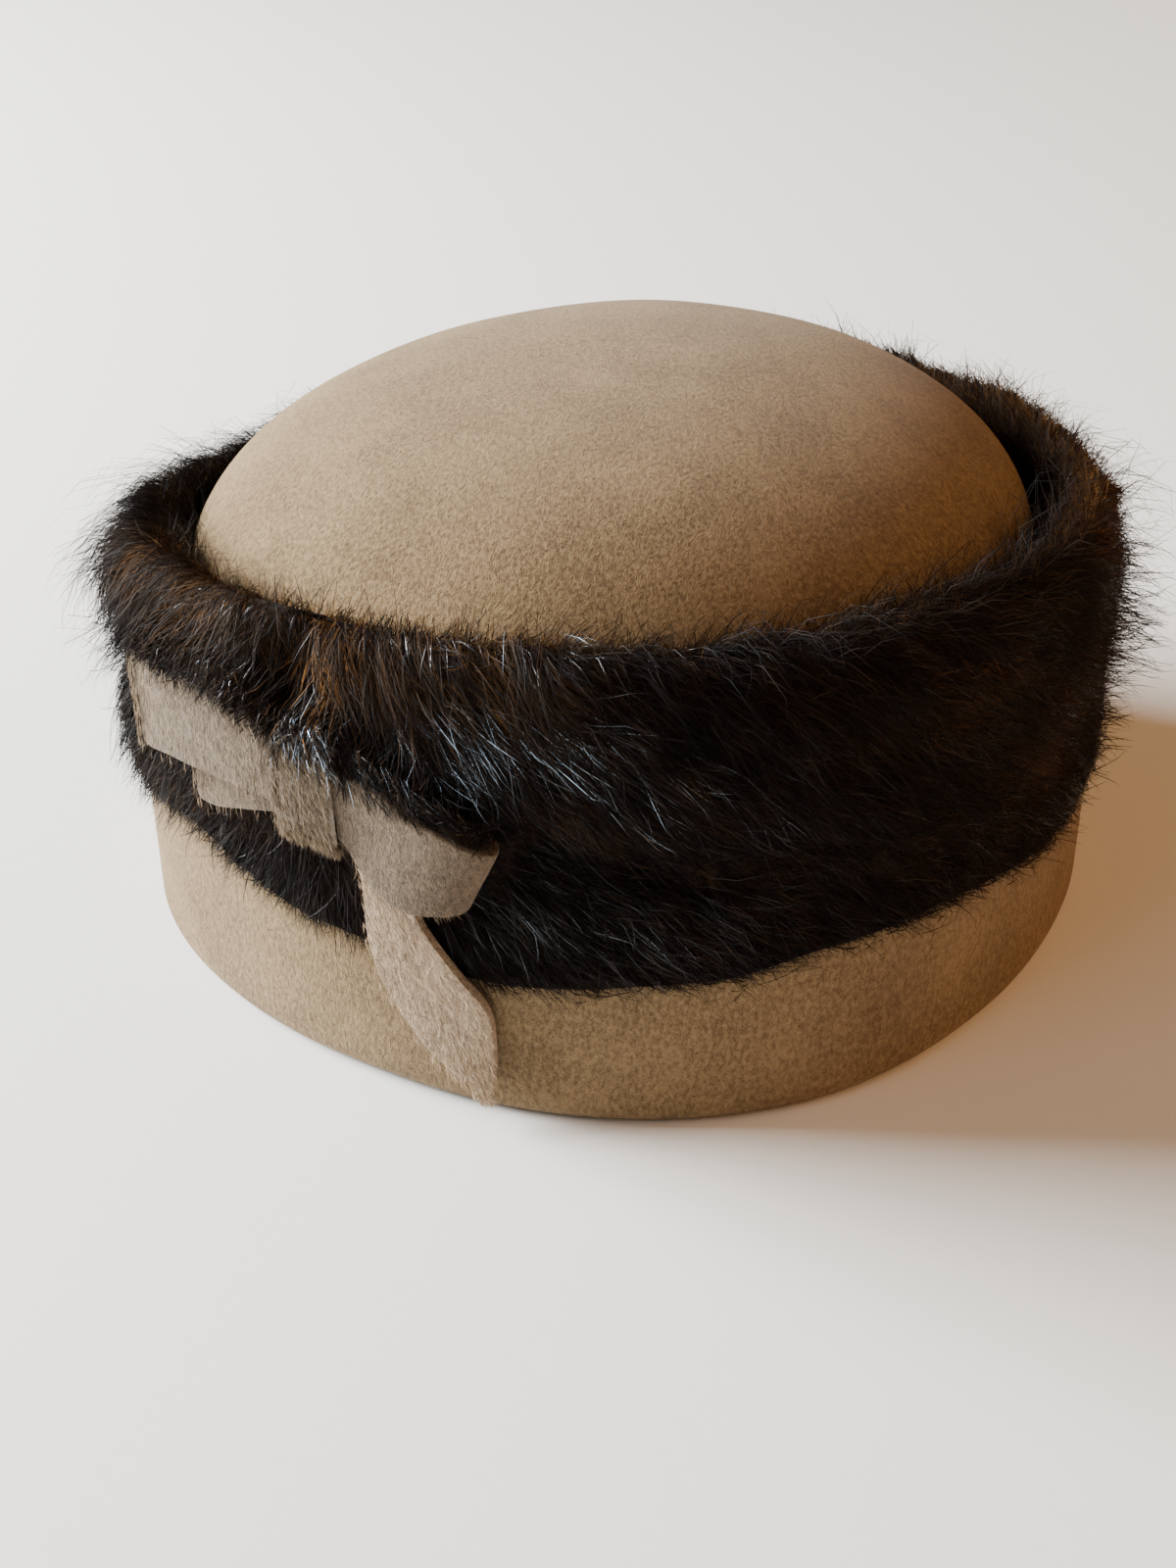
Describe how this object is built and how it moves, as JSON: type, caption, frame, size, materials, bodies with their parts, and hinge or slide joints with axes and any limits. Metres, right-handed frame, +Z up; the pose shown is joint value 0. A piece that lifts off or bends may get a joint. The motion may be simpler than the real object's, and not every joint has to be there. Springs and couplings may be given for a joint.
{
  "type": "pillbox hat",
  "caption": "Felt pillbox hat with a domed crown, a folded felt cuff, a band of dark fur and a flat felt bow at the side of the front.",
  "frame": {"origin": "on the surface the hat rests on, under the middle of its bounding box", "axes": "+Z up, -Y the hat's front, +X the wearer's left; the long axis of the hat is Y"},
  "size_m": [0.1944, 0.2158, 0.1166],
  "materials": {
    "taupe_felt": "short-napped velour felt",
    "trim_felt": "flat pressed felt",
    "dark_fur": "dense dark fur"
  },
  "bodies": {
    "root": {"crown": "taupe_felt", "cuff": "taupe_felt", "fur_upper": "dark_fur", "fur_lower": "dark_fur", "bow_left_loop": "trim_felt", "bow_left_tail": "trim_felt", "bow_right_loop": "trim_felt", "bow_right_tail": "trim_felt", "bow_knot": "trim_felt"}
  },
  "joints": []
}
